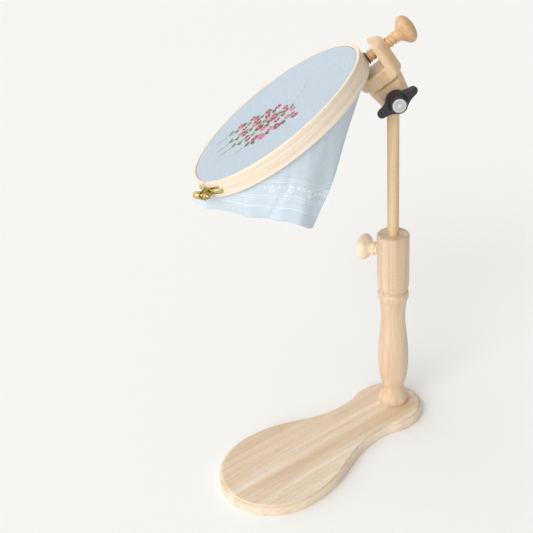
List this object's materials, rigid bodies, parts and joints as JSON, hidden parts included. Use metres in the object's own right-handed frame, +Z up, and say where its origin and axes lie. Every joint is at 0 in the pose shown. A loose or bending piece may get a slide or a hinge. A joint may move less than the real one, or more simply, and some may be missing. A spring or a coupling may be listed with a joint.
{
  "type": "embroidery hoop on stand",
  "caption": "Turned wooden table stand with a sliding, swivelling dowel and a screw clamp that holds a round embroidery hoop with its stretched cloth at any tilt.",
  "frame": {"origin": "where the post's axis meets the underside of the foot board", "axes": "+Z up along the post; the clamp's pivot bolt lies along Y and its wing nut faces -Y; the hoop reaches out towards -X; the wide end of the foot points 33.5 degrees from -X towards -Y"},
  "size_m": [0.3147, 0.3382, 0.5982],
  "materials": {
    "beech_board": "sanded and clear-lacquered, long grain",
    "turned_beech": "turned, sanded and clear-lacquered",
    "bent_beech": "bent and sanded, unfinished",
    "zinc_steel": "bright zinc plate",
    "brass": "polished",
    "brown_leather": "smooth",
    "black_nylon": "moulded, satin",
    "grey_nylon": "moulded, satin",
    "white_evenweave": "evenweave cotton"
  },
  "bodies": {
    "stand": {"foot_board": "beech_board", "fixing_bolt": "zinc_steel", "fixing_washer": "zinc_steel", "fixing_insert": "brass", "post": "turned_beech"},
    "brake": {"brake_pad": "brown_leather", "brake_pad_pin": "brass"},
    "post_screw": {"thumbscrew": "turned_beech"},
    "mast": {"dowel": "turned_beech"},
    "mast_head": {"dowel_tongue": "turned_beech"},
    "clamp": {"clamp_block": "turned_beech", "pivot_bolt": "zinc_steel", "pivot_washer": "zinc_steel"},
    "wing": {"wing_nut": "black_nylon", "wing_nut_insert": "brass", "wing_nut_cap": "grey_nylon"},
    "jaw_shoe": {"jaw_pad": "brown_leather", "jaw_pad_pin": "brass"},
    "jaw_spindle": {"jaw_screw": "turned_beech"},
    "hoop": {"outer_ring": "bent_beech", "inner_ring": "bent_beech", "clasp_plate_front": "brass", "clasp_plate_back": "brass", "clasp_rivets": "brass", "hoop_nut": "brass", "cloth_panel": "white_evenweave", "cloth_collar": "white_evenweave", "cloth_skirt_back": "white_evenweave", "cloth_skirt_front": "white_evenweave"},
    "hoop_thumb": {"hoop_screw": "brass"}
  },
  "joints": [
    {"name": "dowel_height", "type": "slide", "parent": "stand", "child": "mast", "axis": [0, 0, 1], "range_m": [-0.15, 0.04]},
    {"name": "dowel_swivel", "type": "hinge", "parent": "mast", "child": "mast_head", "pos_m": [0, 0, 0.466], "axis": [0, 0, 1], "continuous": true},
    {"name": "clamp_tilt", "type": "hinge", "parent": "mast_head", "child": "clamp", "pos_m": [0, 0, 0.5], "axis": [0, 1, 0], "range_deg": [-27, 63]},
    {"name": "wing_nut_turn", "type": "hinge", "parent": "clamp", "child": "wing", "pos_m": [0, -0.03, 0.5], "axis": [0, -1, 0], "continuous": true},
    {"name": "jaw_shoe_travel", "type": "slide", "parent": "clamp", "child": "jaw_shoe", "axis": [0.8387, 0, 0.5446], "range_m": [0, 0.003]},
    {"name": "jaw_screw_turn", "type": "hinge", "parent": "jaw_shoe", "child": "jaw_spindle", "pos_m": [0.00087, 0, 0.57211], "axis": [0.8387, 0, 0.5446], "range_deg": [0, 210]},
    {"name": "brake_travel", "type": "slide", "parent": "stand", "child": "brake", "axis": [-0.8192, 0.5736, 0], "range_m": [0, 0.002]},
    {"name": "thumbscrew_turn", "type": "hinge", "parent": "brake", "child": "post_screw", "pos_m": [-0.02457, 0.01721, 0.274], "axis": [-0.8192, 0.5736, 0], "range_deg": [0, 140]},
    {"name": "hoop_release", "type": "slide", "parent": "clamp", "child": "hoop", "axis": [-0.5446, 0, 0.8387], "range_m": [0, 0.06]},
    {"name": "hoop_screw_turn", "type": "hinge", "parent": "hoop", "child": "hoop_thumb", "pos_m": [-0.24848, -0.07498, 0.41793], "axis": [0.4444, -0.848, 0.2886], "continuous": true}
  ],
  "couplings": [
    {"joint": "jaw_shoe_travel", "follows": "jaw_screw_turn", "m_per_rad": 0.00079577},
    {"joint": "brake_travel", "follows": "thumbscrew_turn", "m_per_rad": 0.00079577}
  ]
}
